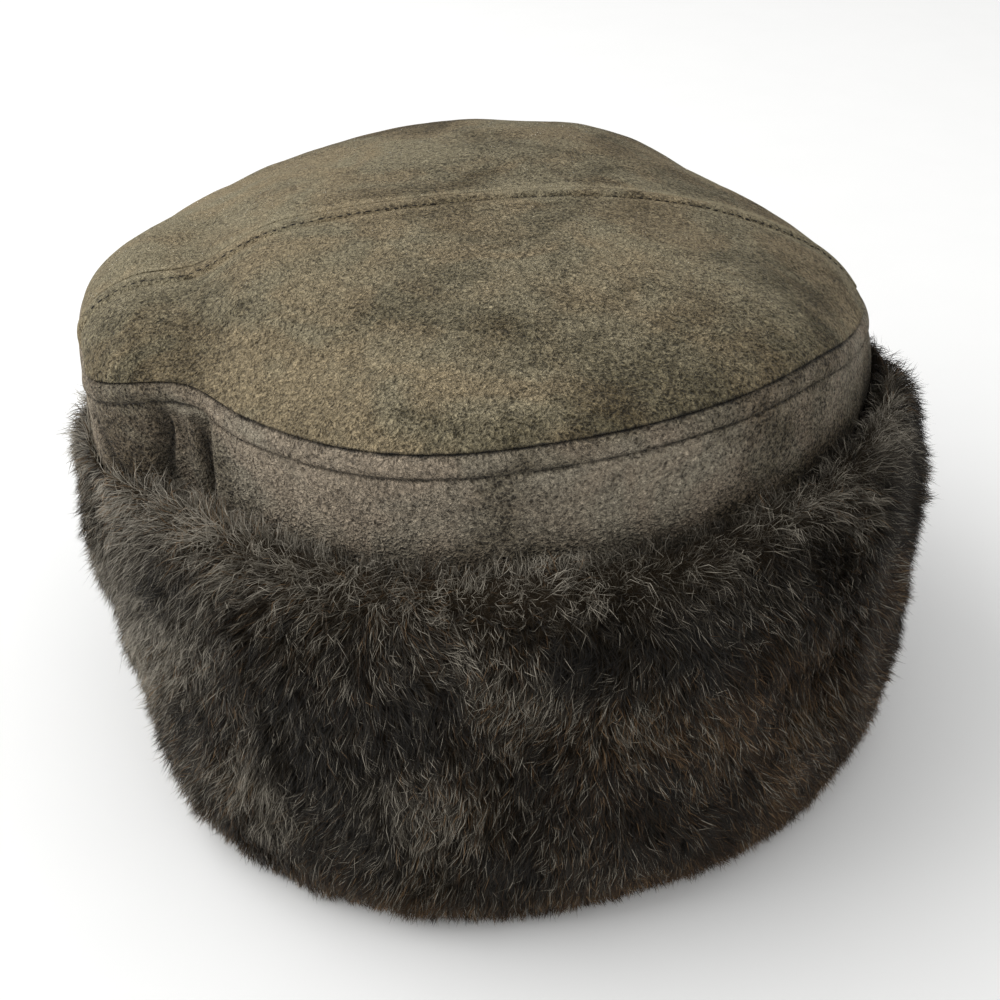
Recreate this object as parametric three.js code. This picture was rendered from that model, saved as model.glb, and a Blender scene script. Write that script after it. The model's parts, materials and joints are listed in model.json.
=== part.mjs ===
// A cossack hat: a soft suede crown of two top panels and a side band, inside a deep turned-up fur cuff.
// Sizes are in millimetres. +Z is up and -Y is the front of the hat, which rests on its rim at Z = 0.
import * as THREE from 'three';
import { ParametricGeometry } from 'three/addons/geometries/ParametricGeometry.js';
import { mergeGeometries, mergeVertices } from 'three/addons/utils/BufferGeometryUtils.js';

// Driving dimensions of the crown
const HEAD_HALF_WIDTH = 86; // inside the wall at the rim, across the ears
const HEAD_HALF_LENGTH = 103; // inside the wall at the rim, brow to nape
const SUEDE = 2.4; // thickness of the suede walls
const SEAM_GAP = 0.3; // clear space between two sewn pieces
const CROWN_TOP = 160; // height of the ridge seam at the middle of the crown
const CROWN_FLATNESS = 2.5; // power of the fall from the ridge to the crown seam, 2 for a round dome
const ROLL_SHARE = 1.3; // how much of a section's roll shows as swell over the crown seam
const BAND_FLARE = 2.2; // power of the side band's flare from the rim up to the crown seam
const BAND_FOOT = 0.6; // the side band's lower edge stands this far above the rim

// Driving dimensions of the seams: allowances turned to one side and topstitched
const WELT_ROWS = [
  // across: distance from the seam, rise: how far the suede stands proud there
  { across: 0, rise: -0.7 },
  { across: 1.2, rise: 0.5 },
  { across: 3.2, rise: 0.9 },
  { across: 5.2, rise: 0.5 },
  { across: 6.2, rise: -0.5 },
  { across: 7.6, rise: 0 },
];

// Driving dimensions of the fur cuff
const CUFF_CLEAR = 0.8; // clear space between the cuff's skin and the side band at the rim
const CUFF_STAND_OFF = 3; // how far the cuff's skin leans away from the side band at its top
const CUFF_SHOULDER = 0.66; // height of the widest place, as a share of the cuff's height
const CUFF_CREST = 0.25; // place of the highest line, as a share of the thickness from the inside
const CUFF_CREST_DROP = 9; // how far the pile falls from the crest to the skin's edge
const FOOT_ROUND = 12; // radius of the rolled lower edge, which lies flat on the rim
const LOCKS_AROUND = 22; // locks of pile in each tier
const LOCK_TIER_ROWS = 3; // rows of the outer face to each tier
const LOCK_RISE = 2.5; // how far a lock's tip stands out

// Sections of the hat, one row each, at an angle from +X towards +Y.
const CROWN_SECTIONS = [
  // seam: radius and height of the crown seam, roll: swell of the top panel over it,
  // belly: how far the side band bulges below it
  { angle: 0, seamRadius: 116, seamHeight: 121, roll: 4, belly: 5 },
  { angle: 30, seamRadius: 115, seamHeight: 125, roll: 4, belly: 3 },
  { angle: 60, seamRadius: 118, seamHeight: 136, roll: 5, belly: 2 },
  { angle: 90, seamRadius: 119, seamHeight: 139, roll: 6, belly: 2 },
  { angle: 120, seamRadius: 117, seamHeight: 134, roll: 4, belly: 2 },
  { angle: 150, seamRadius: 119, seamHeight: 128, roll: 5, belly: 2 },
  { angle: 170, seamRadius: 120, seamHeight: 129, roll: 7, belly: 2 },
  { angle: 184, seamRadius: 119, seamHeight: 123, roll: 11, belly: 2 },
  { angle: 196, seamRadius: 120, seamHeight: 127, roll: 7, belly: 1 },
  { angle: 208, seamRadius: 107, seamHeight: 133, roll: 6, belly: 0 },
  { angle: 222, seamRadius: 107, seamHeight: 132, roll: 5, belly: 2 },
  { angle: 245, seamRadius: 113, seamHeight: 135, roll: 5, belly: 2 },
  { angle: 270, seamRadius: 113, seamHeight: 140, roll: 5, belly: 2 },
  { angle: 290, seamRadius: 112, seamHeight: 142, roll: 5, belly: 2 },
  { angle: 310, seamRadius: 109, seamHeight: 140, roll: 5, belly: 3 },
  { angle: 330, seamRadius: 107, seamHeight: 130, roll: 4, belly: 5 },
];
const CUFF_SECTIONS = [
  // widest: largest radius, top: height, foot: radius of the lower edge
  { angle: 0, widest: 129, top: 102, foot: 117 },
  { angle: 30, widest: 126, top: 99, foot: 119 },
  { angle: 60, widest: 137, top: 101, foot: 129 },
  { angle: 90, widest: 145, top: 103, foot: 136 },
  { angle: 120, widest: 140, top: 103, foot: 131 },
  { angle: 150, widest: 131, top: 101, foot: 120 },
  { angle: 170, widest: 128, top: 97, foot: 107 },
  { angle: 184, widest: 127, top: 96, foot: 105 },
  { angle: 196, widest: 127, top: 100, foot: 113 },
  { angle: 208, widest: 130, top: 103, foot: 123 },
  { angle: 222, widest: 133, top: 107, foot: 131 },
  { angle: 245, widest: 139, top: 110, foot: 138 },
  { angle: 270, widest: 141, top: 112, foot: 136 },
  { angle: 290, widest: 138, top: 114, foot: 133 },
  { angle: 310, widest: 134, top: 113, foot: 130 },
  { angle: 330, widest: 133, top: 111, foot: 128 },
];

// Creases pressed into the crown's top: a valley from one plan point to the other.
const TOP_DENTS = [
  { fromX: -93, fromY: -52, toX: -82, toY: 20, width: 12, depth: 5.5 },
  { fromX: -60, fromY: -80, toX: -88, toY: -52, width: 14, depth: 2.5 },
];

// Upright folds of the side band where the crown is pushed in. A negative depth is a raised edge.
const BAND_FOLDS = [
  { angle: 205, width: 2.4, depth: 5 },
  { angle: 211.6, width: 2, depth: 5.5 },
  { angle: 216, width: 1.8, depth: -1.8 },
];

// Mesh steps
const PANEL_COLUMNS = 36;
const PANEL_END_CROWDING = 0.09; // how much closer together the columns are at both ends
const PANEL_END_ANGLE = 28; // the part of the crown seam that each end of a panel takes
const PANEL_BLENDS = [0.1, 0.24, 0.38, 0.52, 0.66, 0.78, 0.88, 0.95, 1];
const BAND_DEPTHS_BELOW_WELT = [13, 21, 32]; // below the crown seam
const BAND_HEIGHT_SHARES = [0.62, 0.3, 0]; // of what is left down to the rim
const BAND_INNER_SHARES = [0, 0.3, 0.62, 0.85, 1];
const BAND_SPANS = [
  // degrees from the last span's end, closer together where the crown is pushed in
  { upTo: 165, step: 5 },
  { upTo: 200, step: 2.5 },
  { upTo: 222, step: 1 },
  { upTo: 360, step: 4.6 },
];
const LOCK_COLUMNS = 4;
const CUFF_SKIN_SHARES = [0, 0.25, 0.5, 0.75, 1];
const CUFF_CREST_STEPS = 2;
const CUFF_SHOULDER_STEPS = 4;
const CUFF_FLANK_STEPS = 7;
const CUFF_FOOT_STEPS = 3;

const FULL_TURN = 360;
const radians = THREE.MathUtils.degToRad;

// The values of a table of sections at any angle, on a smooth closed curve through its rows.
function valuesAt(sections, angle) {
  const turned = THREE.MathUtils.euclideanModulo(angle, FULL_TURN);
  const count = sections.length;
  const here = sections.findLastIndex((row) => row.angle <= turned);
  const rows = [-1, 0, 1, 2].map((step) => sections[(here + step + count) % count]);
  const spans = [0, 1, 2].map((k) => {
    return THREE.MathUtils.euclideanModulo(rows[k + 1].angle - rows[k].angle, FULL_TURN);
  });
  const t = (turned - rows[1].angle) / spans[1];
  const values = {};
  for (const key of Object.keys(rows[1])) {
    const slopes = [0, 1, 2].map((k) => (rows[k + 1][key] - rows[k][key]) / spans[k]);
    const startSlope = (spans[1] * slopes[0] + spans[0] * slopes[1]) / (spans[0] + spans[1]);
    const endSlope = (spans[2] * slopes[1] + spans[1] * slopes[2]) / (spans[1] + spans[2]);
    values[key] = (2 * t ** 3 - 3 * t ** 2 + 1) * rows[1][key]
      + (t ** 3 - 2 * t ** 2 + t) * spans[1] * startSlope
      + (3 * t ** 2 - 2 * t ** 3) * rows[2][key]
      + (t ** 3 - t ** 2) * spans[1] * endSlope;
  }
  return values;
}

function around(angle, radius, height) {
  return new THREE.Vector3(radius * Math.cos(radians(angle)), radius * Math.sin(radians(angle)), height);
}

function ellipseRadius(angle, halfWidth, halfLength) {
  const across = halfLength * Math.cos(radians(angle));
  const along = halfWidth * Math.sin(radians(angle));
  return halfWidth * halfLength / Math.hypot(across, along);
}

// Depth of the pressed creases at a plan point.
function dentDepth(x, y) {
  let depth = 0;
  for (const dent of TOP_DENTS) {
    const from = new THREE.Vector3(dent.fromX, dent.fromY, 0);
    const crease = new THREE.Line3(from, new THREE.Vector3(dent.toX, dent.toY, 0));
    const point = new THREE.Vector3(x, y, 0);
    const nearest = crease.closestPointToPoint(point, true, new THREE.Vector3());
    depth += dent.depth * Math.exp(-((nearest.distanceTo(point) / dent.width) ** 2));
  }
  return depth;
}

// A point of the crown's top. Reach is 0 at the middle and 1 on the crown seam.
// Inset moves it in by the wall's thickness, and rise moves it out along the surface's own slant.
function crownPoint(angle, reach, inset, rise) {
  const { seamRadius, seamHeight, roll } = valuesAt(CROWN_SECTIONS, angle);
  const fall = reach ** CROWN_FLATNESS;
  const swell = roll * ROLL_SHARE * Math.sin(Math.PI * reach ** 3);
  const radius = (seamRadius - inset) * reach + swell;
  const height = seamHeight * fall + (CROWN_TOP - inset) * (1 - fall);
  const point = around(angle, radius, height);
  point.z -= dentDepth(point.x, point.y) * (1 - fall ** 3);
  const slant = around(angle, fall, 1 - fall).normalize();
  return point.addScaledVector(slant, rise);
}

// Outer radius of the side band at a height, folds included.
function bandRadius(angle, height, foldShare) {
  const { seamRadius, seamHeight, belly } = valuesAt(CROWN_SECTIONS, angle);
  const share = height / seamHeight;
  const rim = ellipseRadius(angle, HEAD_HALF_WIDTH + SUEDE, HEAD_HALF_LENGTH + SUEDE);
  const flare = 1 - (1 - share) ** BAND_FLARE;
  const swell = belly * Math.sin(Math.PI * THREE.MathUtils.clamp((share - 0.6) / 0.4, 0, 1));
  let folded = 0;
  for (const fold of BAND_FOLDS) {
    folded += fold.depth * Math.exp(-(((angle - fold.angle) / fold.width) ** 2));
  }
  // A fold starts under the welt, is deepest where the cuff begins, and is pressed flat at the rim.
  const opened = THREE.MathUtils.smoothstep(seamHeight - height, 3, 16);
  const pressed = THREE.MathUtils.smoothstep(share, 0.2, 0.6);
  return rim + (seamRadius - rim) * flare + swell - folded * opened * pressed * foldShare;
}

// A closed body from sheets that share their edges.
function closedBody(sheets) {
  const joined = mergeGeometries(sheets);
  joined.deleteAttribute('normal');
  joined.deleteAttribute('uv');
  const body = mergeVertices(joined, 1e-3);
  body.computeVertexNormals();
  return body;
}

// A sheet over a grid: place(column, row) gives the point for whole steps.
function gridSheet(columns, rows, place) {
  return new ParametricGeometry((u, v, target) => {
    target.copy(place(Math.round(u * columns), Math.round(v * rows)));
  }, columns, rows);
}

// A ring whose section at each angle is a closed loop of points.
function ringBody(angles, loopAt) {
  const loops = angles.map(loopAt);
  const columns = loops.length;
  const rows = loops[0].length;
  const place = (column, row) => loops[column % columns][(rows - row) % rows];
  return closedBody([gridSheet(columns, rows, place)]);
}

// The rows of a top panel's mesh, from the ridge seam to the crown seam. Blend is 0 on rows along the
// ridge and 1 on the row along the crown seam, and endAngle is where a row meets the crown seam.
function panelRows(welted) {
  const rows = WELT_ROWS.map(({ across, rise }) => {
    const endAngle = Math.asin(across / CROWN_SECTIONS[0].seamRadius);
    return { blend: 0, endAngle, rise: welted ? rise : 0 };
  });
  const lastEnd = rows.at(-1).endAngle;
  for (const blend of PANEL_BLENDS) {
    const endAngle = THREE.MathUtils.lerp(lastEnd, radians(PANEL_END_ANGLE), blend);
    rows.push({ blend, endAngle, rise: blend === 1 ? WELT_ROWS[0].rise : 0 });
  }
  return rows;
}

// A panel's mesh laid out in half of the unit circle, whose straight side is the ridge seam.
function panelLayout(column, { blend, endAngle }) {
  const cornerAngle = radians(PANEL_END_ANGLE);
  const even = column / PANEL_COLUMNS;
  const u = even - PANEL_END_CROWDING * Math.sin(2 * Math.PI * even);
  const lengthways = 2 * u - 1;
  const seamAngle = Math.PI - cornerAngle - (Math.PI - 2 * cornerAngle) * u;
  const endX = Math.cos(endAngle) - (1 - blend) - blend * Math.cos(cornerAngle);
  const endY = Math.sin(endAngle) - blend * Math.sin(cornerAngle);
  const x = (1 - blend) * lengthways + blend * Math.cos(seamAngle) + lengthways * endX;
  const y = blend * Math.sin(seamAngle) + endY;
  return new THREE.Vector2(x, y);
}

// The column and row of each step round a grid's outline, from its first corner.
function outlineSteps(columns, rows) {
  const steps = [];
  for (let column = 0; column < columns; column += 1) {
    steps.push([column, 0]);
  }
  for (let row = 0; row < rows; row += 1) {
    steps.push([columns, row]);
  }
  for (let column = columns; column > 0; column -= 1) {
    steps.push([column, rows]);
  }
  for (let row = rows; row > 0; row -= 1) {
    steps.push([0, row]);
  }
  return steps;
}

// A panel of the crown's top. Side is -1 for the front panel, which carries the topstitched welt of the
// ridge seam, and 1 for the back one.
function crownPanel(side) {
  const rows = panelRows(side < 0);
  const mirrored = (column) => PANEL_COLUMNS - column;
  const place = (column, row, inset) => {
    const at = panelLayout(side < 0 ? mirrored(column) : column, rows[row]);
    const reach = Math.min(1, at.length());
    const angle = THREE.MathUtils.radToDeg(Math.atan2(side * at.y, at.x));
    const point = crownPoint(angle, reach, inset, inset ? 0 : rows[row].rise);
    point.y += side * SEAM_GAP / 2;
    return point;
  };
  const lastRow = rows.length - 1;
  const outer = gridSheet(PANEL_COLUMNS, lastRow, (column, row) => place(column, row, 0));
  const inner = gridSheet(PANEL_COLUMNS, lastRow, (column, row) => place(mirrored(column), row, SUEDE));
  const outline = outlineSteps(PANEL_COLUMNS, lastRow);
  const cutEdge = gridSheet(outline.length, 1, (step, sheet) => {
    const [column, row] = outline[step % outline.length];
    return place(column, row, sheet ? 0 : SUEDE);
  });
  return closedBody([outer, inner, cutEdge]);
}

// The angles of the side band's columns.
function bandAngles() {
  const angles = [0];
  for (const { upTo, step } of BAND_SPANS) {
    const from = angles.at(-1);
    const count = Math.round((upTo - from) / step);
    for (let k = 1; k <= count; k += 1) {
      angles.push(from + k * step);
    }
  }
  angles.pop(); // the full turn is the first column again
  return angles;
}

// One section of the side band: down its outer face and up its inner one.
function bandLoop(angle) {
  const { seamHeight } = valuesAt(CROWN_SECTIONS, angle);
  const top = seamHeight - SEAM_GAP;
  const points = WELT_ROWS.map(({ across, rise }) => {
    return around(angle, bandRadius(angle, top - across, 1) + rise, top - across);
  });
  for (const depth of BAND_DEPTHS_BELOW_WELT) {
    points.push(around(angle, bandRadius(angle, top - depth, 1), top - depth));
  }
  const lowestFixed = top - BAND_DEPTHS_BELOW_WELT.at(-1);
  for (const share of BAND_HEIGHT_SHARES) {
    const height = THREE.MathUtils.lerp(BAND_FOOT, lowestFixed, share);
    points.push(around(angle, bandRadius(angle, height, 1), height));
  }
  for (const share of BAND_INNER_SHARES) {
    const height = THREE.MathUtils.lerp(BAND_FOOT, top, share);
    points.push(around(angle, bandRadius(angle, height, 1) - SUEDE, height));
  }
  return points;
}

// How far the pile stands out in locks, for a row of the cuff's outer face counted from the crest.
function lockRelief(angle, row) {
  const tier = Math.floor(row / LOCK_TIER_ROWS);
  const alongLock = (row % LOCK_TIER_ROWS + 1) / LOCK_TIER_ROWS;
  const turn = LOCKS_AROUND * angle / FULL_TURN + (tier % 2) / 2;
  const acrossLock = (1 + Math.cos(2 * Math.PI * turn)) / 2;
  return LOCK_RISE * alongLock * Math.sqrt(acrossLock);
}

// One section of the cuff: up its skin, over the crest of the pile, down its outside and under its foot.
function cuffLoop(angle) {
  const { widest, top, foot } = valuesAt(CUFF_SECTIONS, angle);
  const skinAt = (height) => {
    const lean = CUFF_STAND_OFF * (height / top) ** 2;
    return bandRadius(angle, height, 0) + CUFF_CLEAR + lean;
  };
  const skinTop = top - CUFF_CREST_DROP;
  const inside = skinAt(skinTop);
  const crest = THREE.MathUtils.lerp(inside, widest, CUFF_CREST);
  const shoulder = top * CUFF_SHOULDER;
  const points = CUFF_SKIN_SHARES.map((share) => around(angle, skinAt(share * skinTop), share * skinTop));
  for (let k = 1; k <= CUFF_CREST_STEPS; k += 1) {
    const turn = k / CUFF_CREST_STEPS * Math.PI / 2;
    const radius = crest - (crest - inside) * Math.cos(turn);
    points.push(around(angle, radius, skinTop + CUFF_CREST_DROP * Math.sin(turn)));
  }
  let row = 0;
  const pile = (radius, height) => {
    points.push(around(angle, radius + lockRelief(angle, row), height));
    row += 1;
  };
  for (let k = 1; k <= CUFF_SHOULDER_STEPS; k += 1) {
    const turn = k / CUFF_SHOULDER_STEPS * Math.PI / 2;
    const radius = crest + (widest - crest) * Math.sin(turn);
    pile(radius, shoulder + (top - shoulder) * Math.cos(turn));
  }
  for (let k = CUFF_FLANK_STEPS - 1; k >= 0; k -= 1) {
    const share = k / CUFF_FLANK_STEPS;
    const radius = foot + (widest - foot) * Math.sin(share * Math.PI / 2);
    pile(radius, THREE.MathUtils.lerp(FOOT_ROUND, shoulder, share));
  }
  for (let k = 1; k <= CUFF_FOOT_STEPS; k += 1) {
    const turn = k / CUFF_FOOT_STEPS * Math.PI / 2;
    const radius = foot - FOOT_ROUND * (1 - Math.cos(turn));
    points.push(around(angle, radius, FOOT_ROUND * (1 - Math.sin(turn))));
  }
  return points;
}

function evenAngles(count) {
  return Array.from({ length: count }, (_, k) => k * FULL_TURN / count);
}

function piece(name, geometry, material) {
  const mesh = new THREE.Mesh(geometry, material);
  mesh.name = name;
  return mesh;
}

const topSuede = new THREE.MeshStandardMaterial({ color: 0x7a7059, roughness: 0.95, metalness: 0 });
const bandSuede = new THREE.MeshStandardMaterial({ color: 0x645c4d, roughness: 0.95, metalness: 0 });
const fur = new THREE.MeshStandardMaterial({ color: 0x35312b, roughness: 0.8, metalness: 0 });

const crown = new THREE.Group();
crown.add(piece('crown_front_panel', crownPanel(-1), topSuede));
crown.add(piece('crown_back_panel', crownPanel(1), topSuede));
crown.add(piece('side_band', ringBody(bandAngles(), bandLoop), bandSuede));

const hat = new THREE.Group();
hat.add(crown);
hat.add(piece('fur_cuff', ringBody(evenAngles(LOCKS_AROUND * LOCK_COLUMNS), cuffLoop), fur));

// The origin is on the resting plane, under the middle of the hat's box.
const box = new THREE.Box3().setFromObject(hat);
const middle = box.getCenter(new THREE.Vector3());
hat.position.set(-middle.x, -middle.y, -box.min.z);

export default hat;
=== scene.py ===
import json
import math

import bmesh
import bpy
import numpy as np
from mathutils import Matrix, Vector
from mathutils.bvhtree import BVHTree
from mathutils.kdtree import KDTree


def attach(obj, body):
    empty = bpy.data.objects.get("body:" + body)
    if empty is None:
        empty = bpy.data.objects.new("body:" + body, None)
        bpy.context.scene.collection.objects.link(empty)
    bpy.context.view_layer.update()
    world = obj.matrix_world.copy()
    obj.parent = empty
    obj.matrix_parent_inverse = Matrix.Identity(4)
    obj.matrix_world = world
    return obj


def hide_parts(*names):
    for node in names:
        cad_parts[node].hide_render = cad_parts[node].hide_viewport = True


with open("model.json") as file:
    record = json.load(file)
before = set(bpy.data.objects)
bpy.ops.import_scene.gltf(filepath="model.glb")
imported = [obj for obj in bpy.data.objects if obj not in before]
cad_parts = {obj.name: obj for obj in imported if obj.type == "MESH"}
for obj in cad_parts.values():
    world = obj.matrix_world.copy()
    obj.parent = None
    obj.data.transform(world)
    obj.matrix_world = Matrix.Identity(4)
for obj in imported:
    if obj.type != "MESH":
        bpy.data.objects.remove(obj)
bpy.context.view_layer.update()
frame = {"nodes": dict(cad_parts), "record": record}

MM = 0.001
BODY = "root"

# The middle of the head, from the record of the solids
head = next(mount for mount in frame["record"]["mounts"] if mount["name"] == "head_opening")
HEAD_X = head["pos_m"][0] / MM
HEAD_Y = head["pos_m"][1] / MM
RIDGE_Y = HEAD_Y  # the ridge seam runs straight across over the middle of the head

# The camera, as the photograph was taken
CAMERA_AZIMUTH = 11.9  # degrees from straight in front, towards the wearer's right
CAMERA_DISTANCE = 422.1  # level distance from the middle of the head
CAMERA_HEIGHT = 315.7
AIM_HEIGHT = 54.0  # it looks at this height over the middle of the head
LENS = 54.46
SENSOR = 36.0
SHIFT = 0.0065  # sideways, as a share of the sensor

# Suede
STITCH_LINE = 6.2  # distance of the topstitching from its seam
STITCH_PITCH = 2.7
STITCH_LENGTH = 1.8
STITCH_WIDTH = 0.55
STITCH_HEIGHT = 0.45
STITCH_REACH = 2.5  # a stitch is left out where no suede is this near to its line
SEWING_SEED = 8
RIDGE_HALF_LENGTH = 118  # the ridge seam's line is looked for this far to either side
RIDGE_LOWEST = 110.0  # and isn't followed below this height
ABOVE_THE_HAT = 300.0
WELT_MIDDLE = 3.0  # distance from a seam to the middle of the strip that its topstitching holds down, where light is painted
PAST_STITCHES = 8.4  # distance from a seam to the worn strip on the far side of its topstitching
FAR_FROM_SEAM = 60.0  # distance given where a panel carries no topstitching
COLUMN_GAP = 0.4  # degrees that part one column of the side band's points from the next
CREASE_ANGLE = 55  # edges sharper than this, in degrees, are the cut edges of a wall
CREASE = 0.6
KEEP_SIZE_ROUNDS = 2  # times that corners are moved out, so that the rounded skin keeps the solid's size
KEEP_SIZE_SHARE = 0.8  # share of what is missing that they are moved each time
SEAM_STEP = 1.0
HELD_STILL = 2.0  # the hide lies still this far from its seams and the ground
FREE_AFTER = 16.0  # and is free this much further on
TOP_WAVES = [(38, 2.2), (12, 0.5)]  # waves laid over a piece: their size and their height
BAND_WAVES = [(30, 1.0), (10, 0.35)]
PLEATS = [
    # sharp pleats of the side band: angles in degrees from +X towards +Y, and heights above the rim
    {"top": 127, "top_angle": 204.0, "foot": 88, "foot_angle": 202.4, "depth": 2.8, "width": 1.0},
    {"top": 125, "top_angle": 209.8, "foot": 92, "foot_angle": 210.4, "depth": 1.0, "width": 0.9},
    {"top": 124, "top_angle": 206.8, "foot": 96, "foot_angle": 207.4, "depth": 0.6, "width": 0.8},
    {"top": 124, "top_angle": 191.5, "foot": 90, "foot_angle": 201.0, "depth": 1.6, "width": 1.8},
]
CROWN_SWELLS = [
    # where the worn crown stands out further: an angle and a height, how far the swell reaches from them,
    # and how much it stands out
    {"angle": 178, "width": 30, "height": 130, "reach": 60, "amount": 2.7},
    {"angle": 58, "width": 18, "height": 130, "reach": 60, "amount": 2.8},
]
CUFF_SWELLS = [
    # where the cuff stands out further, in the same terms
    {"angle": 188, "width": 18, "height": 82, "reach": 20, "amount": 2.5},
    {"angle": 222, "width": 24, "height": 18, "reach": 30, "amount": 2.6},
    {"angle": 318, "width": 28, "height": 14, "reach": 26, "amount": 2.4},
]
CREST_LIFT = {"angle": 184, "width": 13, "height": 90, "reach": 16, "amount": 5.0}  # straight up
SUEDE_PAINTED_LIGHT_AND_SHADE = [
    # places where light or shade is painted on the suede, making it lighter or darker than elsewhere, in the
    # same terms
    {"angle": 318, "width": 31, "height": 90, "reach": 24, "amount": -1.4},
    {"angle": 300, "width": 44, "height": 152, "reach": 20, "amount": 0.4},
    {"angle": 148, "width": 36, "height": 140, "reach": 40, "amount": 1.0},
    {"angle": 199, "width": 13, "height": 106, "reach": 22, "amount": -0.3},
    {"angle": 232, "width": 16, "height": 108, "reach": 22, "amount": 0.35},
    {"angle": 310, "width": 30, "height": 138, "reach": 9, "amount": -0.6},
    {"angle": 276, "width": 20, "height": 145, "reach": 8, "amount": -0.7},
    {"angle": 266, "width": 18, "height": 122, "reach": 12, "amount": 0.2},
    {"angle": 195, "width": 12, "height": 134, "reach": 12, "amount": -0.3},
]
SWELL_FROM = 60.0  # distance from the head's middle line beyond which a swell is at its full size
SPRING_HEIGHT = 95.0  # above this height, swells go upwards as well as outwards

# Pile of the cuff
PILE_SEED = 5
PILE_DEPTH = 4.4  # how far the base of the visible strands lies under the pile's surface
BASE_FREE_AFTER = 12  # how far above the still strip at the ground the base has its full waves
BASE_WAVES = [(14, 2.0)]
PILE_AREA = 100_000  # in square millimetres, near enough to set the number of tufts
STRANDS = 240_000
STRAND_LENGTH = 7.6
STRAND_WIDTH = 0.22
TUFT_SPACING = 2.6
LOCK_SPACING = 14.0
TOUSLE = 0.6  # how far, in radians, strands stray from the way that the pile is combed
STRAY_SHARE = 0.02  # share of the strands that stand out of their tufts, longer than the rest
LOOSE_ANGLE = 195.0  # the pile's loosest, longest place, beside the pushed-in side of the crown, also painted lighter as lit from that side
LOOSE_WIDTH = 32
SHADED_ANGLE = 300.0  # the side where the pile is brownest below its crest
SHADED_WIDTH = 34
GREYS = (0.02, 0.58)  # the stretches of the strands' ramp of tones that hold its greys and its browns
BROWNS = (0.68, 0.98)
CLEAR_OF_GROUND = 0.4
CLEAR_OF_BAND = 0.4
FIELD_WAVES = 40  # waves that a field of smooth random values is added up from
LEVEL_STEP = 2  # the side band's outer radius is kept for levels this far apart in height
LOWEST_LEVEL = 30
LEVELS = 80
OUTSIDE_THE_BAND = 200.0  # distance from the head's middle line at which the search for the band starts
BAND_SEARCH = 150.0  # and how far inwards it goes
PILE_SECTORS = {
    # first and last angle in degrees from +X towards +Y
    "pile_front_left": (270, 330),
    "pile_front_right": (210, 270),
    "pile_right": (150, 210),
    "pile_back_right": (90, 150),
    "pile_back_left": (30, 90),
    "pile_left": (-30, 30),
}
TONE_HALF_WIDTH = 0.004  # half of the width that a strand takes in its map of tones
STRAND_TIP = 0.98  # height of a strand's tip in that map

# Studio, in metres and watts
ROOM_LIGHT = 0.74
FLOOR_HALF_WIDTH = 30
LAMP_TARGET = (0, 0, 0.08)
LAMPS = [
    {"name": "key", "place": (-1.15, 0.3, 1.1), "width": 1.8, "watts": 20},
    {"name": "front_fill", "place": (-0.9, -1.1, 0.7), "width": 1.2, "watts": 2},
]


# Shader sums
class Socket:
    """A shader value that takes part in Python sums, each of which adds a Math node."""

    def __init__(self, finish, output):
        self.finish = finish
        self.output = output

    def math(self, operation, *others):
        return self.finish.node("ShaderNodeMath", {"operation": operation}, dict(enumerate([self, *others])))

    def __add__(self, other):
        return self.math("ADD", other)

    def __sub__(self, other):
        return self.math("SUBTRACT", other)

    def __rsub__(self, other):
        return (self * -1.0) + other

    def __mul__(self, other):
        return self.math("MULTIPLY", other)

    def __abs__(self):
        return self.math("ABSOLUTE")

    __radd__ = __add__
    __rmul__ = __mul__

    def clamped(self):
        return self.math("MINIMUM", 1.0).math("MAXIMUM", 0.0)

    def step(self, low, high):
        """0 below low and 1 above high, smooth in between, or the other way round where low is higher."""
        settings = {"interpolation_type": "SMOOTHSTEP"}
        start, end = (0.0, 1.0) if low < high else (1.0, 0.0)
        sockets = {
            "Value": self,
            "From Min": min(low, high),
            "From Max": max(low, high),
            "To Min": start,
            "To Max": end,
        }
        return self.finish.node("ShaderNodeMapRange", settings, sockets)


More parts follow.
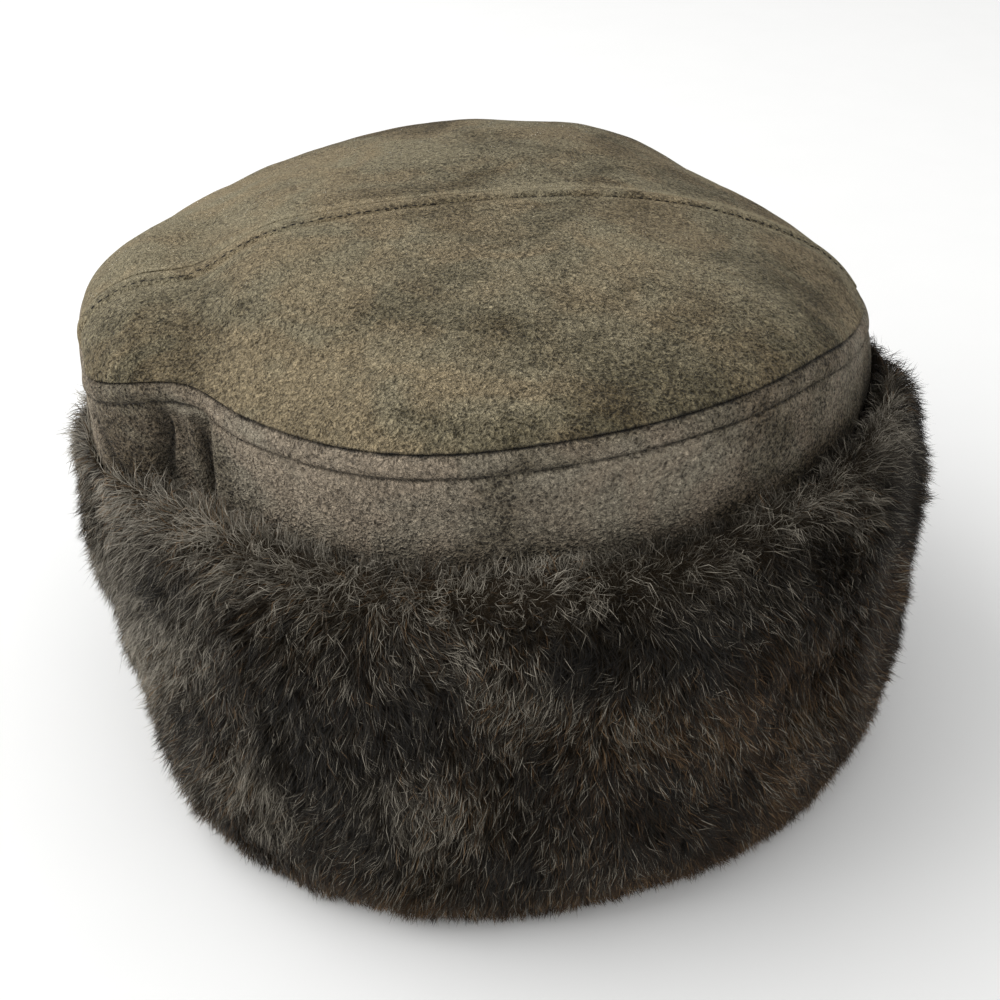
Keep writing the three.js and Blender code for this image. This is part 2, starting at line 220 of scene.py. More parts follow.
class Finish:
    """A material, built node by node."""

    def __init__(self, name):
        self.material = bpy.data.materials.new(name)
        self.material.use_nodes = True
        self.tree = self.material.node_tree
        self.tree.nodes.clear()
        self.place = self.node("ShaderNodeTexCoord", output="Object")

    def node(self, kind, settings=None, sockets=None, output=0):
        """Adds a node: its settings first, then the values or links of its sockets."""
        made = self.tree.nodes.new(kind)
        for name, value in (settings or {}).items():
            if name == "stops":
                self.set_stops(made.color_ramp, value)
            else:
                setattr(made, name, value)
        for name, value in (sockets or {}).items():
            if isinstance(value, Socket):
                self.tree.links.new(value.output, made.inputs[name])
            else:
                made.inputs[name].default_value = value
        return Socket(self, made.outputs[output]) if made.outputs else made

    def set_stops(self, ramp, stops):
        while len(ramp.elements) < len(stops):
            ramp.elements.new(0.5)
        for element, (position, colour) in zip(ramp.elements, stops):
            element.position = position
            element.color = colour

    def noise(self, size, detail=2.0, roughness=0.5, distortion=0.0):
        """Noise from 0 to 1 whose grains are about size millimetres across."""
        sockets = {
            "Vector": self.place,
            "Scale": 1 / (size * MM),
            "Detail": detail,
            "Roughness": roughness,
            "Distortion": distortion,
        }
        return self.node("ShaderNodeTexNoise", None, sockets)

    def fibres(self, size):
        """Curly lines, 1 along each line and 0 between them."""
        return (1.0 - abs(self.noise(size, 1.0, 0.5, 0.6) - 0.5) * 10.0).clamped()

    def attribute(self, name):
        return self.node("ShaderNodeAttribute", {"attribute_name": name}, None, "Fac")

    def mix(self, first, second, factor, blend="MIX"):
        """A colour between two colours."""
        settings = {"data_type": "RGBA", "blend_type": blend}
        return self.node("ShaderNodeMix", settings, {0: factor, 6: first, 7: second}, 2)

    def surface(self, colour, fixed, height=None, relief=0.0):
        """Ends the material: its colour, the numbers that are the same all over, and a bump."""
        sockets = {"Base Color": colour, **fixed}
        if height is not None:
            bump = {"Height": height, "Distance": relief * MM, "Strength": 1.0}
            sockets["Normal"] = self.node("ShaderNodeBump", None, bump, "Normal")
        shader = self.node("ShaderNodeBsdfPrincipled", None, sockets, "BSDF")
        self.node("ShaderNodeOutputMaterial", None, {"Surface": shader})
        return self.material


def paint(red, green, blue):
    """A colour as a paint chart gives it, 0 to 255, for a shader."""
    return (*(even_light(value / 255) for value in (red, green, blue)), 1.0)


def even_light(value):
    """A chart's step as the share of light that it sends back."""
    return value / 12.92 if value <= 0.04045 else ((value + 0.055) / 1.055) ** 2.4


# Finishes
def suede_finish(name, olive_tones, warm_tones, shaded):
    """Napped suede: curly fibres, mottling and broad patches, light and shade painted at given spots,
    wear beside the seams with painted light on the welts, dark joints in its seams, and painted shade
    in its topstitching grooves and pleats.

    Both pairs of tones are dark, then light, and shaded is what the dark patches and the painted shade
    are multiplied by.
    """
    finish = Finish(name)
    patches = finish.noise(40, 2.0, 0.5, 0.6)
    mottle = finish.noise(9, 2.0, 0.5, 0.6)
    curls = finish.fibres(2.1)
    nap = finish.fibres(1.7) * 0.46 + finish.fibres(1.3) * 0.46 - finish.fibres(2.0) * 0.34
    nap = nap + curls * 0.2 + (finish.noise(0.9, 1.0) - 0.5) * 0.9
    wear = finish.noise(13, 2.0, 0.5, 0.4).step(0.36, 0.6)
    stitched = finish.attribute("stitched")
    ridge = finish.attribute("ridge")
    seam = finish.attribute("seam")
    # painted light along the welts that the topstitching holds down, which would otherwise lie in shade
    welt = abs(stitched - WELT_MIDDLE).step(2.8, 0.8) * 0.22
    beside = abs(stitched - PAST_STITCHES).step(2.4, 0.4) * 0.28
    crest = ridge.step(6.5, 1.0) * 0.35 + ridge.step(2.6, 1.2) * 0.6
    # wear past the topstitching and along the ridge seam, and the painted light on the welts, broken up by
    # the wear noise
    wear_and_painted_light = (welt + beside + crest) * (wear * 0.9 + 0.3)
    # light and shade painted at given spots round the hat
    lightness = finish.attribute("lightness")
    clouds = (patches - 0.5) * 0.9 + (mottle - 0.5) * 0.3
    # the painted light and shade also lighten or darken the tone
    tone = (nap + clouds + wear_and_painted_light * 0.7 + lightness * 0.45 + 0.32).clamped()
    olive = finish.mix(*olive_tones, tone)
    warm = finish.mix(*warm_tones, tone)
    warmth = finish.noise(26, 2.0, 0.5, 0.8).step(0.4, 0.62)
    colour = finish.mix(olive, warm, warmth)
    # the dark patches and mottling, the suede's own colour, multiply it towards shaded; painted shade from
    # the spots joins them, and wear and painted light take them away
    shade = (0.55 - patches) * 3.2 + (0.5 - mottle) * 1.0 - wear_and_painted_light * 0.8 - lightness * 1.6
    colour = finish.mix(colour, shaded, shade.clamped(), "MULTIPLY")
    beside_ridge = ridge.step(14.0, 9.0)
    # painted shade in the topstitching's groove, less beside the ridge seam
    stitch_line = abs(stitched - STITCH_LINE).step(0.9, 0.1) * (0.6 - beside_ridge * 0.5) * (wear * 0.6 + 0.5)
    seam_line = seam.step(1.0, 0.25) * (wear * 0.35 + 0.6)
    ridge_line = ridge.step(0.7, 0.1) * 0.15
    pleat = finish.attribute("pleat")
    # dark joints at the seams and the ridge, painted shade in the topstitching grooves and in the pleats
    for crease in (stitch_line, seam_line, ridge_line, pleat * 0.8):
        colour = finish.mix(colour, paint(26, 22, 15), crease)
    wrinkle = finish.noise(7, 2.0, 0.5, 1.2)
    height = nap + curls * 0.6 + wrinkle * 1.3
    fixed = {"Roughness": 0.95, "Specular IOR Level": 0.1, "Sheen Weight": 0.05, "Sheen Roughness": 0.5}
    return finish.surface(colour, fixed, height, 1.4)


def thread_finish():
    finish = Finish("dark_thread")
    twist = finish.noise(0.5, 1.0)
    colour = finish.mix(paint(16, 14, 11), paint(40, 35, 28), twist)
    return finish.surface(colour, {"Roughness": 0.7, "Specular IOR Level": 0.3}, twist, 0.1)


def pile_base_finish():
    """The dark depth of the pile under the strands."""
    finish = Finish("sheepskin_depth")
    tufts = finish.noise(2.2, 3.0, 0.6, 0.8)
    colour = finish.mix(paint(26, 21, 15), paint(58, 49, 37), tufts)
    return finish.surface(colour, {"Roughness": 1.0, "Specular IOR Level": 0.1}, tufts, 1.2)


def strand_finish():
    """Strands of sheepskin: a strand's tone runs across its map, and its root is at the map's foot, where
    shade is painted on it.
    """
    finish = Finish("sheepskin_strands")
    strand_map = finish.node("ShaderNodeUVMap", {"uv_map": "OFBake"})
    across = finish.node("ShaderNodeSeparateXYZ", None, {"Vector": strand_map}, "X")
    along = finish.node("ShaderNodeSeparateXYZ", None, {"Vector": strand_map}, "Y")
    stops = [
        (0.0, paint(17, 15, 12)),
        (0.3, paint(56, 49, 38)),
        (0.6, paint(158, 151, 137)),
        (0.66, paint(28, 20, 12)),
        (0.84, paint(75, 54, 31)),
        (1.0, paint(132, 106, 76)),
    ]
    tone = finish.node("ShaderNodeValToRGB", {"stops": stops}, {"Fac": across}, "Color")
    # painted shade towards each strand's root, where the pile shades it
    depth = along.step(0.05, 0.75) * 0.7 + 0.3
    colour = finish.mix(paint(18, 14, 10), tone, depth)
    return finish.surface(colour, {"Roughness": 0.6, "Specular IOR Level": 0.25})


# Pieces
def merged_copy(node_name):
    """A copy of a solid's skin, joined up, of four-sided faces wherever it was made of them."""
    shape = bmesh.new()
    shape.from_mesh(frame["nodes"][node_name].data)
    bmesh.ops.remove_doubles(shape, verts=shape.verts, dist=0.01 * MM)
    bmesh.ops.join_triangles(
        shape,
        faces=shape.faces,
        angle_face_threshold=math.radians(50),
        angle_shape_threshold=math.radians(60),
    )
    for face in shape.faces:
        face.smooth = True
    for edge in shape.edges:
        edge.smooth = True
    return shape


def tighten_edges(shape):
    """Keeps the cut edges of a wall from being rounded away."""
    creases = shape.edges.layers.float.new("crease_edge")
    for edge in shape.edges:
        if len(edge.link_faces) == 2 and edge.calc_face_angle() > math.radians(CREASE_ANGLE):
            edge[creases] = CREASE


def new_piece(name, mesh, material):
    mesh.materials.clear()
    mesh.materials.append(material)
    piece = bpy.data.objects.new(name, mesh)
    bpy.context.scene.collection.objects.link(piece)
    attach(piece, BODY)
    return piece


def piece_from_shape(name, shape, material):
    mesh = bpy.data.meshes.new(name)
    shape.to_mesh(mesh)
    shape.free()
    return new_piece(name, mesh, material)


def soften(piece, levels, keeps_size):
    """Rounds a piece off, for good."""
    rounding = piece.modifiers.new("rounding", "SUBSURF")
    rounding.levels = levels
    rounding.render_levels = levels
    if keeps_size:
        keep_size(piece)
    shown = piece.evaluated_get(bpy.context.evaluated_depsgraph_get())
    mesh = bpy.data.meshes.new_from_object(shown)
    piece.modifiers.clear()
    piece.data = mesh
    return mesh


def keep_size(piece):
    """Moves the corners of a piece out until its rounded skin passes through the corners of the solid."""
    goals = [vertex.co.copy() for vertex in piece.data.vertices]
    for _ in range(KEEP_SIZE_ROUNDS):
        shown = piece.evaluated_get(bpy.context.evaluated_depsgraph_get())
        mesh = shown.to_mesh()
        places = [mesh.vertices[number].co.copy() for number in range(len(goals))]
        shown.to_mesh_clear()
        for vertex, place, goal in zip(piece.data.vertices, places, goals):
            vertex.co += (goal - place) * KEEP_SIZE_SHARE
        piece.data.update()


def lay_waves(piece, waves, shares):
    """Lays slow waves over a piece: pairs of their size and height, and each vertex's share of them."""
    group = piece.vertex_groups.new(name="free")
    for number, share in enumerate(shares):
        group.add([number], share, "REPLACE")
    for size, height in waves:
        cloud = bpy.data.textures.new(f"{piece.name}_wave_{size}", "CLOUDS")
        cloud.noise_scale = size * MM
        cloud.noise_depth = 1
        wave = piece.modifiers.new("wave", "DISPLACE")
        wave.texture = cloud
        wave.texture_coords = "LOCAL"
        wave.strength = height * MM
        wave.mid_level = 0.5
        wave.vertex_group = group.name


def skin_tree(piece):
    return BVHTree.FromObject(piece, bpy.context.evaluated_depsgraph_get())


def shown_skin(piece):
    """Places, normals and triangles of a piece as it shows, in millimetres."""
    shown = piece.evaluated_get(bpy.context.evaluated_depsgraph_get())
    mesh = shown.to_mesh()
    mesh.calc_loop_triangles()
    places = np.empty(len(mesh.vertices) * 3)
    mesh.vertices.foreach_get("co", places)
    normals = np.empty(len(mesh.vertices) * 3)
    mesh.vertices.foreach_get("normal", normals)
    corners = np.empty(len(mesh.loop_triangles) * 3, dtype=np.int32)
    mesh.loop_triangles.foreach_get("vertices", corners)
    shown.to_mesh_clear()
    return places.reshape(-1, 3) / MM, normals.reshape(-1, 3), corners.reshape(-1, 3)


# Suede crown and band
def band_top_line():
    """The crown seam: the outer, highest edge of the side band, in steps round the hat."""
    columns = []
    last_angle = -math.inf
    vertices = frame["nodes"]["side_band"].data.vertices
    for angle, place in sorted(angle_and_place(vertex) for vertex in vertices):
        if angle - last_angle > COLUMN_GAP:
            columns.append([])
        columns[-1].append(place)
        last_angle = angle
    corners = [Vector(max(column, key=height_then_radius)) for column in columns]
    return even_steps(corners + corners[:1], SEAM_STEP)


def angle_and_place(vertex):
    x = vertex.co.x / MM - HEAD_X
    y = vertex.co.y / MM - HEAD_Y
    return math.degrees(math.atan2(y, x)), tuple(vertex.co)


def height_then_radius(place):
    radius = math.hypot(place[0] / MM - HEAD_X, place[1] / MM - HEAD_Y)
    return round(place[2] / MM, 1), radius


def even_steps(corners, step):
    """Points at even steps along a line through the corners."""
    points = []
    spare = 0.0
    for start, end in zip(corners, corners[1:]):
        length = (end - start).length / MM
        while spare < length:
            points.append(start.lerp(end, spare / length))
            spare += step
        spare -= length
    return points


def nearest_tree(points):
    tree = KDTree(len(points))
    for number, point in enumerate(points):
        tree.insert(point, number)
    tree.balance()
    return tree


def nearness(x, y, z, spot):
    """How near a place, in millimetres from the head, is to a spot at an angle and a height, 0 to 1."""
    turned = ((math.degrees(math.atan2(y, x)) - spot["angle"] + 180) % 360 - 180) / spot["width"]
    raised = (z - spot["height"]) / spot["reach"]
    off_middle = min(1.0, math.hypot(x, y) / SWELL_FROM) ** 2
    return off_middle * math.exp(-(turned**2) - raised**2)


def from_head(place):
    """A place in metres, as millimetres from the middle of the head."""
    return place[0] / MM - HEAD_X, place[1] / MM - HEAD_Y, place[2] / MM


def swollen(place, swells):
    """A place, moved out where the worn crown or the cuff stands out further."""
    x, y, z = from_head(place)
    out = Vector((x, y, max(0.0, z - SPRING_HEIGHT))).normalized()
    amount = sum(swell["amount"] * nearness(x, y, z, swell) for swell in swells)
    return Vector(place) + out * (amount * MM)


def pleat_share(place, pleat):
    """How deep in a pleat of the side band a place is, 0 to 1."""
    x, y, z = from_head(place)
    share = (pleat["top"] - z) / (pleat["top"] - pleat["foot"])
    if not 0 < share < 1:
        return 0.0
    middle = pleat["top_angle"] + (pleat["foot_angle"] - pleat["top_angle"]) * share
    across = math.radians(math.degrees(math.atan2(y, x)) % 360 - middle) * math.hypot(x, y)
    return math.exp(-((across / pleat["width"]) ** 2)) * min(1.0, share * 4, (1 - share) * 3)


def mark_seams(mesh, crown_seam, stitched_to):
    """Keeps each vertex's distances from the seams and how much light or shade is painted on the suede there.

    Gives back each vertex's distance from the seam that is nearest to it.
    """
    distances = {"seam": [], "ridge": [], "stitched": [], "lightness": []}
    for vertex in mesh.vertices:
        to_crown_seam = crown_seam.find(vertex.co)[2] / MM
        to_ridge = FAR_FROM_SEAM if stitched_to == "crown" else abs(vertex.co.y / MM - RIDGE_Y)
        own_seam = {"crown": to_crown_seam, "ridge": to_ridge}
        distances["seam"].append(to_crown_seam)
        distances["ridge"].append(to_ridge)
        distances["stitched"].append(own_seam.get(stitched_to, FAR_FROM_SEAM))
        # light and shade painted at given spots, added up
        spots = (spot["amount"] * nearness(*from_head(vertex.co), spot) for spot in SUEDE_PAINTED_LIGHT_AND_SHADE)
        distances["lightness"].append(sum(spots))
    for name, values in distances.items():
        mesh.attributes.new(name, "FLOAT", "POINT").data.foreach_set("value", values)
    return [min(values) for values in zip(distances["seam"], distances["ridge"])]


def press_pleats(mesh, pleats):
    """Presses sharp pleats into a piece, and keeps how deep in one each vertex is, for the shade painted in
    them.
    """
    shares = []
    for vertex in mesh.vertices:
        inward = -Vector((vertex.co.x - HEAD_X * MM, vertex.co.y - HEAD_Y * MM, 0)).normalized()
        depths = [pleat_share(vertex.co, pleat) for pleat in pleats]
        for pleat, depth in zip(pleats, depths):
            vertex.co += inward * (depth * pleat["depth"] * MM)
        shares.append(max(depths, default=0.0))
    mesh.attributes.new("pleat", "FLOAT", "POINT").data.foreach_set("value", shares)


def suede_piece(name, node_name, material, crown_seam, stitched_to, waves, pleats):
    """A solid of the crown, rounded off, worn and pleated, with slow waves away from its seams."""
    shape = merged_copy(node_name)
    tighten_edges(shape)
    piece = piece_from_shape(name, shape, material)
    mesh = soften(piece, levels=2, keeps_size=True)
    seam_distances = mark_seams(mesh, crown_seam, stitched_to)
    press_pleats(mesh, pleats)
    for vertex in mesh.vertices:
        vertex.co = swollen(vertex.co, CROWN_SWELLS)
        vertex.co.z = max(vertex.co.z, CLEAR_OF_GROUND * MM)
    free = []
    for vertex, seam_distance in zip(mesh.vertices, seam_distances):
        share = min(1.0, max(0.0, (min(seam_distance, vertex.co.z / MM) - HELD_STILL) / FREE_AFTER))
        free.append(share * share * (3 - 2 * share))
    lay_waves(piece, waves, free)
    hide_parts(node_name)
    return piece


def stitch_places(skin, line):
    """Where each stitch lies on a piece: its middle, its direction and the way out of the suede."""
    places = []
    for start, end in zip(line, line[1:]):
        middle, normal, _, distance = skin.find_nearest((start + end) / 2)
        if distance < STITCH_REACH * MM:
            along = (end - start).normalized()
            out = (normal - along * normal.dot(along)).normalized()
            places.append((middle, along, out))
    return places


def sew(name, skin, line, material):
    """A row of topstitching, half sunk into the suede and a little uneven."""
    generator = np.random.default_rng(SEWING_SEED)
    shape = bmesh.new()
    for middle, along, out in stitch_places(skin, line):
        length, sink, sideways = generator.uniform((0.8, -0.25, -0.2), (1.1, 0.05, 0.2))
        half_sizes = (STITCH_LENGTH / 2 * length * MM, STITCH_WIDTH / 2 * MM, STITCH_HEIGHT / 2 * MM, 1)
        middle = middle + out * (sink * STITCH_HEIGHT * MM) + out.cross(along) * (sideways * MM)
        turn = Matrix((along, out.cross(along), out)).transposed().to_4x4()
        place = Matrix.Translation(middle) @ turn @ Matrix.Diagonal(half_sizes)
        bmesh.ops.create_uvsphere(shape, u_segments=6, v_segments=4, radius=1.0, matrix=place)
    for face in shape.faces:
        face.smooth = True
    return piece_from_shape(name, shape, material)


def crown_stitch_line(crown_seam_points):
    """The line of the topstitching on the side band, under the crown seam."""
    lowered = [swollen(point, CROWN_SWELLS) - Vector((0, 0, STITCH_LINE * MM)) for point in crown_seam_points]
    return even_steps(lowered, STITCH_PITCH)


def ridge_stitch_line(skin):
    """The line of the topstitching on the front panel, in front of the ridge seam."""
    points = []
    for x in range(-RIDGE_HALF_LENGTH, RIDGE_HALF_LENGTH + 1):
        start = Vector(((HEAD_X + x) * MM, (RIDGE_Y - STITCH_LINE) * MM, ABOVE_THE_HAT * MM))
        hit = skin.ray_cast(start, Vector((0, 0, -1)))[0]
        if hit is not None and hit.z > RIDGE_LOWEST * MM:
            points.append(hit)
    return even_steps(points, STITCH_PITCH)


# Pile of the cuff
def unit(vectors):
    return vectors / np.maximum(np.linalg.norm(vectors, axis=1, keepdims=True), 1e-9)


def smooth_field(points, size, seed):
    """Smooth random values with a spread of 1, in patches of about that size, other ones for each seed."""
    generator = np.random.default_rng(seed)
    waves = generator.normal(size=(FIELD_WAVES, 3)) * (2.4 / size)
    phases = generator.uniform(0, 2 * math.pi, FIELD_WAVES)
    return np.sin(points @ waves.T + phases).sum(axis=1) / math.sqrt(FIELD_WAVES / 2)


def smooth_step(values, low, high):
    share = np.clip((values - low) / (high - low), 0, 1)
    return share * share * (3 - 2 * share)


def outward_from_head(points):
    outward = points - np.array((HEAD_X, HEAD_Y, 0))
    outward[:, 2] = 0
    return unit(outward)


def angles_of(points):
    """Angles round the head in degrees, from +X towards +Y, 0 to 360."""
    return np.degrees(np.arctan2(points[:, 1] - HEAD_Y, points[:, 0] - HEAD_X)) % 360


def pile_share(points, normals):
    """1 on the outside and crest of the cuff, where the pile grows, and 0 on its skin side and its foot."""
    outward = outward_from_head(points)
    return smooth_step((normals * outward).sum(axis=1) + normals[:, 2], -0.8, 0.1)


def pile_base(material):
    """The cuff with its pile pressed in, less on its crest and beside the band, for strands to stand on."""
    shape = merged_copy("fur_cuff")
    shape.normal_update()
    for vertex in shape.verts:
        place = np.array([vertex.co / MM])
        normal = np.array([vertex.normal])
        towards_band = max(0.0, -float((normal * outward_from_head(place)).sum()))
        pressed = float(pile_share(place, normal)[0]) * (1 - 0.5 * max(0.0, vertex.normal.z))
        pressed *= 1 - 0.8 * towards_band
        pressed_in = vertex.co - vertex.normal * pressed * PILE_DEPTH * MM
        lift = CREST_LIFT["amount"] * nearness(*from_head(pressed_in), CREST_LIFT)
        vertex.co = pressed_in.lerp(swollen(pressed_in, CUFF_SWELLS), 1 - towards_band)
        vertex.co.z = max(vertex.co.z + lift * MM, 0.0)
    base = piece_from_shape("cuff_pile_base", shape, material)
    mesh = soften(base, levels=1, keeps_size=False)
    heights = [vertex.co.z / MM for vertex in mesh.vertices]
    free = [min(1.0, max(0.0, (height - HELD_STILL) / BASE_FREE_AFTER)) for height in heights]
    lay_waves(base, BASE_WAVES, free)
    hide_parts("fur_cuff")
    return base


def scatter(skin, count, generator):
    """Roots spread evenly by area over the part of the base where the pile grows, with their normals."""
    places, normals, corners = skin
    grows = pile_share(places, normals)[corners].mean(axis=1)
    first, second, third = (places[corners[:, k]] for k in range(3))
    area = np.linalg.norm(np.cross(second - first, third - first), axis=1) * grows
    chosen = generator.choice(len(corners), size=count, p=area / area.sum())
    share = generator.random((count, 2))
    folded = share.sum(axis=1) > 1
    share[folded] = 1 - share[folded]
    weights = np.column_stack((1 - share.sum(axis=1), share))[:, :, None]
    roots = (places[corners[chosen]] * weights).sum(axis=1)
    return roots, unit((normals[corners[chosen]] * weights).sum(axis=1))


def band_radii(skin):
    """Outer radius of the side band for each degree and each level of height."""
    radii = np.zeros((360, LEVELS))
    for degree in range(360):
        outward = Vector((math.cos(math.radians(degree)), math.sin(math.radians(degree)), 0))
        for level in range(LOWEST_LEVEL, LEVELS):
            middle = Vector((HEAD_X * MM, HEAD_Y * MM, level * LEVEL_STEP * MM))
            start = middle + outward * (OUTSIDE_THE_BAND * MM)
            hit = skin.ray_cast(start, -outward, BAND_SEARCH * MM)[0]
            if hit is not None:
                radii[degree, level] = math.hypot(hit.x / MM - HEAD_X, hit.y / MM - HEAD_Y)
    return radii


def kept_clear(points, radii):
    """The same points, moved out of the side band and off the ground."""
    away = points - np.array((HEAD_X, HEAD_Y, 0))
    radius = np.hypot(away[:, 0], away[:, 1])
    degree = np.round(np.degrees(np.arctan2(away[:, 1], away[:, 0]))).astype(int) % 360
    level = np.clip(np.round(points[:, 2] / LEVEL_STEP).astype(int), 0, LEVELS - 1)
    least = radii[degree, level] + CLEAR_OF_BAND
    sunk = np.maximum(CLEAR_OF_GROUND - points[:, 2], 0)
    wanted = np.maximum(radius, least) + sunk * 0.7
    moved = points + outward_from_head(points) * (wanted - radius)[:, None]
    moved[:, 2] = np.maximum(moved[:, 2], CLEAR_OF_GROUND)
    return moved


def combed(roots, normals, generator):
    """The way each strand leaves the skin and the way its tip leans: down the cuff in slow swirls."""
    outward = outward_from_head(roots)
    inward = np.clip(-(normals * outward).sum(axis=1), 0, 1)[:, None]
    upright = unit(normals * (1 - 0.4 * inward) + inward * np.array((0, 0, 0.8)))
    crest = smooth_step(upright[:, 2], 0.35, 0.9)
    down = np.array((0, 0, -1.0)) + outward * 0.3
    down = unit(down - upright * (down * upright).sum(axis=1)[:, None])
    across = np.cross(upright, down)
    swirl = 0.5 * smooth_field(roots, 45, 11) + 0.3 * smooth_field(roots, 14, 12)
    swirl += generator.normal(0, 1, len(roots)) * (TOUSLE + 1.1 * crest)
    swirl = swirl[:, None]
    flow = down * np.cos(swirl) + across * np.sin(swirl)
    lean = 0.7 + 0.2 * crest + 0.16 * smooth_field(roots, 20, 13)
    lean = np.clip(lean + generator.normal(0, 0.2, len(roots)) * (1 + crest), 0.1, 1.35)[:, None]
    leaving = upright * np.cos(lean - 0.25) + flow * np.sin(lean - 0.25)
    leaning = upright * np.cos(lean + 0.3) + flow * np.sin(lean + 0.3)
    curl = generator.normal(0, 0.35, (len(roots), 3)) * (1 + crest[:, None])
    return leaving, unit(leaning + curl)


def tuft_of_each(roots, centres):
    """The number of the centre that is nearest to each root."""
    tree = nearest_tree([Vector(roots[number]) for number in centres])
    return np.array([tree.find(Vector(root))[1] for root in roots])


def near_angle(points, angle, width):
    """How near points are to an angle round the head, 0 to 1."""
    return np.exp(-(((angles_of(points) - angle) / width) ** 2))


def strand_lengths(roots, normals, crest, beside, low, generator):
    """The length of every strand, and which strands are strays."""
    inside = smooth_step(-(normals * outward_from_head(roots)).sum(axis=1), -0.3, 0.5)
    length = STRAND_LENGTH * generator.uniform(0.75, 1.15, STRANDS) * (1 - 0.15 * inside)
    length *= 1 + crest * (0.1 + 0.4 * beside) - 0.3 * low
    length *= 1 + 0.1 * smooth_field(roots, LOCK_SPACING, 14)
    stray = generator.random(STRANDS) < STRAY_SHARE
    length[stray] *= 1.25
    return length, stray


def gathered(roots, middle, tip, stray, generator):
    """Middles and tips drawn together in tufts, and the strand at the heart of each strand's tuft."""
    centres = generator.choice(STRANDS, int(PILE_AREA / TUFT_SPACING**2), replace=False)
    tuft = centres[tuft_of_each(roots, centres)]
    pull = generator.uniform(0.2, 0.65, STRANDS)
    pull[stray] = 0
    spread = roots - roots[tuft]
    gathered_tip = tip[tuft] + spread * 0.25
    gathered_middle = middle[tuft] + spread * 0.7
    tip = tip + (gathered_tip - tip) * pull[:, None]
    middle = middle + (gathered_middle - middle) * (pull * 0.6)[:, None]
    return middle, tip, tuft


def strand_tones(roots, tuft, crest, beside, low, generator):
    """Where each strand lies on the ramp of tones: dark strands, bright ones among them, and brown ones, with
    light painted on the crest and the loose side.
    """
    tuft_tone = generator.normal(0, 1, STRANDS)[tuft]
    shaded = near_angle(roots, SHADED_ANGLE, SHADED_WIDTH)
    far_crest = shaded * crest
    shaded *= (1 - crest) * (1 - smooth_step(roots[:, 2], 66, 100))
    bright = generator.random(STRANDS) < 0.17 + 0.12 * beside - 0.06 * crest
    tone = 0.08 + 0.1 * generator.normal(0, 1, STRANDS) + 0.08 * tuft_tone
    tone += bright * (0.34 + 0.16 * shaded - 0.14 * crest)
    # painted light: the crest is lighter, most of all the far side's crest, and so is the loose side, as the
    # lamps light them
    tone += 0.09 * smooth_field(roots, 28, 15) + 0.2 * crest + 0.12 * far_crest + 0.32 * beside + 0.08 * low
    tone = np.clip(tone, *GREYS)
    brown_chance = 0.06 + 0.05 * smooth_field(roots, 30, 16) + 0.5 * low + 0.55 * shaded
    brown = generator.random(STRANDS) < brown_chance
    tone[brown] = np.clip(BROWNS[0] + tone[brown] * 0.5, *BROWNS)
    return tone


def grow_strands(skin, radii):
    """Root, middle, tip, side, tone and height of the foot in the map of tones, of every strand."""
    generator = np.random.default_rng(PILE_SEED)
    roots, normals = scatter(skin, STRANDS, generator)
    roots[:, 2] = np.maximum(roots[:, 2], CLEAR_OF_GROUND)
    leaving, leaning = combed(roots, normals, generator)
    crest = smooth_step(normals[:, 2], 0.2, 0.8)
    beside = near_angle(roots, LOOSE_ANGLE, LOOSE_WIDTH)
    low = 1 - smooth_step(roots[:, 2], 6, 24)
    length, stray = strand_lengths(roots, normals, crest, beside, low, generator)
    middle = roots + leaving * (length * 0.5)[:, None]
    tip = middle + leaning * (length * 0.5)[:, None]
    middle, tip, tuft = gathered(roots, middle, tip, stray, generator)
    middle = kept_clear(middle, radii)
    tip = kept_clear(tip, radii)

    facing = normals + generator.normal(0, 0.35, (STRANDS, 3))
    side = unit(np.cross(tip - roots, facing)) * generator.uniform(0.65, 1.2, (STRANDS, 1))
    side *= 1 - 0.2 * crest[:, None]
    tone = strand_tones(roots, tuft, crest, beside, low, generator)
    # the crest's strands start higher up the map of tones, so less painted shade lies at their roots
    foot = 0.02 + 0.45 * crest
    return roots, middle, tip, side, tone, foot


def pile_piece(name, strands, chosen, material):
    """Strands as ribbons that narrow to their tips. Thousands of loose ribbons are set out by numbers."""
    roots, middle, tip, side, tone, foot = (part[chosen] for part in strands)
    count = len(roots)
    half = side * (STRAND_WIDTH / 2)
    corners = np.stack((roots - half, roots + half, middle + half * 0.9, middle - half * 0.9, tip), axis=1)
    first = np.arange(count)[:, None] * 5
    loops = first + np.array((0, 1, 2, 3, 3, 2, 4))
    starts = np.arange(count)[:, None] * 7 + np.array((0, 4))
    across = np.array((-1, 1, 1, -1, -1, 1, 0)) * TONE_HALF_WIDTH
    shares = np.array((0, 0, 0.5, 0.5, 0.5, 0.5, 1))
    along = foot[:, None] + (STRAND_TIP - foot[:, None]) * shares
    strand_map = np.stack((tone[:, None] + across, along), axis=2)

    mesh = bpy.data.meshes.new(name)
    mesh.vertices.add(count * 5)
    mesh.vertices.foreach_set("co", (corners * MM).astype(np.float32).ravel())
    mesh.loops.add(count * 7)
    mesh.loops.foreach_set("vertex_index", loops.astype(np.int32).ravel())
    mesh.polygons.add(count * 2)
    mesh.polygons.foreach_set("loop_start", starts.astype(np.int32).ravel())
    mesh.uv_layers.new(name="OFBake").data.foreach_set("uv", strand_map.astype(np.float32).ravel())
    mesh.update(calc_edges=True)
    return new_piece(name, mesh, material)


def grow_pile(base, band_skin, material):
    strands = grow_strands(shown_skin(base), band_radii(band_skin))
    for name, (first, last) in PILE_SECTORS.items():
        chosen = (angles_of(strands[0]) - first) % 360 < last - first
        pile_piece(name, strands, chosen, material)


# Studio
def aim(thing, target):
    thing.rotation_mode = "QUATERNION"
    thing.rotation_quaternion = (Vector(target) - thing.location).to_track_quat("-Z", "Y")


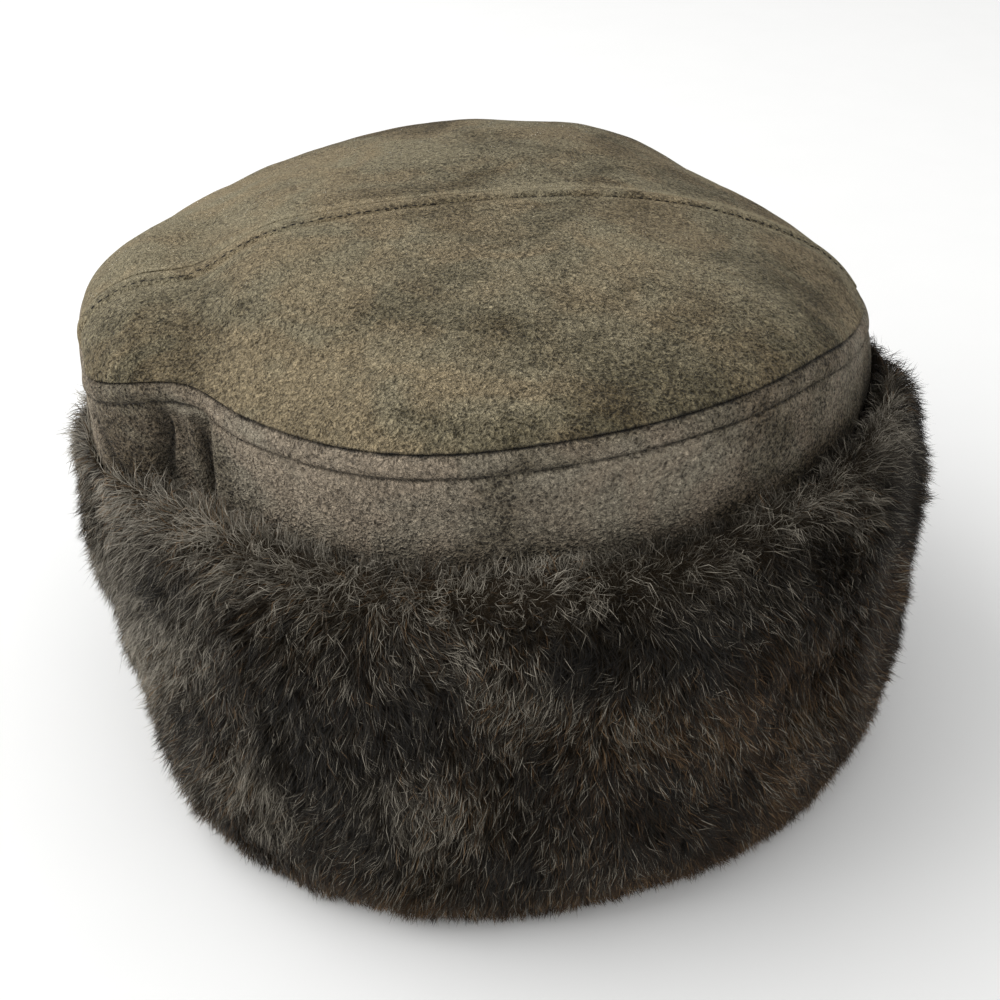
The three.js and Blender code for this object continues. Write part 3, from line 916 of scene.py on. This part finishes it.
def set_camera():
    lens = bpy.data.cameras.new("camera")
    lens.sensor_width = SENSOR
    lens.lens = LENS
    lens.shift_x = SHIFT
    camera = bpy.data.objects.new("camera", lens)
    turn = math.radians(CAMERA_AZIMUTH)
    camera.location = (
        (HEAD_X - CAMERA_DISTANCE * math.sin(turn)) * MM,
        (HEAD_Y - CAMERA_DISTANCE * math.cos(turn)) * MM,
        CAMERA_HEIGHT * MM,
    )
    aim(camera, (HEAD_X * MM, HEAD_Y * MM, AIM_HEIGHT * MM))
    bpy.context.scene.collection.objects.link(camera)
    bpy.context.scene.camera = camera


def set_lamp(name, place, width, watts):
    lamp = bpy.data.lights.new(name, "AREA")
    lamp.shape = "SQUARE"
    lamp.size = width
    lamp.energy = watts
    holder = bpy.data.objects.new(name, lamp)
    holder.location = place
    aim(holder, LAMP_TARGET)
    bpy.context.scene.collection.objects.link(holder)


def set_floor():
    shape = bmesh.new()
    bmesh.ops.create_grid(shape, x_segments=1, y_segments=1, size=FLOOR_HALF_WIDTH)
    mesh = bpy.data.meshes.new("pale_floor")
    shape.to_mesh(mesh)
    shape.free()
    finish = Finish("pale_floor")
    grain = finish.noise(40, 2.0)
    colour = finish.mix(paint(250, 250, 249), paint(253, 253, 252), grain)
    mesh.materials.append(finish.surface(colour, {"Roughness": 0.9}))
    floor = bpy.data.objects.new("pale_floor", mesh)
    bpy.context.scene.collection.objects.link(floor)


def set_world():
    world = bpy.data.worlds.new("soft_room")
    world.use_nodes = True
    background = world.node_tree.nodes["Background"]
    background.inputs["Color"].default_value = (1.0, 1.0, 1.0, 1.0)
    background.inputs["Strength"].default_value = ROOM_LIGHT
    bpy.context.scene.world = world


set_camera()
set_floor()
set_world()
for lamp in LAMPS:
    set_lamp(**lamp)
bpy.context.scene.view_settings.view_transform = "Standard"

# The hat, from its crown down
top_suede = suede_finish(
    "top_suede",
    (paint(67, 61, 44), paint(181, 169, 138)),
    (paint(70, 61, 43), paint(184, 166, 132)),
    paint(196, 194, 184),
)
band_suede = suede_finish(
    "band_suede",
    (paint(60, 54, 44), paint(183, 172, 151)),
    (paint(62, 54, 43), paint(185, 169, 147)),
    paint(194, 190, 178),
)
seam_points = band_top_line()
seam_tree = nearest_tree(seam_points)
front_panel = suede_piece(
    "suede_front_panel", "crown_front_panel", top_suede, seam_tree, "ridge", TOP_WAVES, []
)
suede_piece("suede_back_panel", "crown_back_panel", top_suede, seam_tree, "none", TOP_WAVES, [])
band = suede_piece("suede_side_band", "side_band", band_suede, seam_tree, "crown", BAND_WAVES, PLEATS)
thread = thread_finish()
sew("crown_seam_stitches", skin_tree(band), crown_stitch_line(seam_points), thread)
front_skin = skin_tree(front_panel)
sew("ridge_seam_stitches", front_skin, ridge_stitch_line(front_skin), thread)
base = pile_base(pile_base_finish())
grow_pile(base, skin_tree(band), strand_finish())
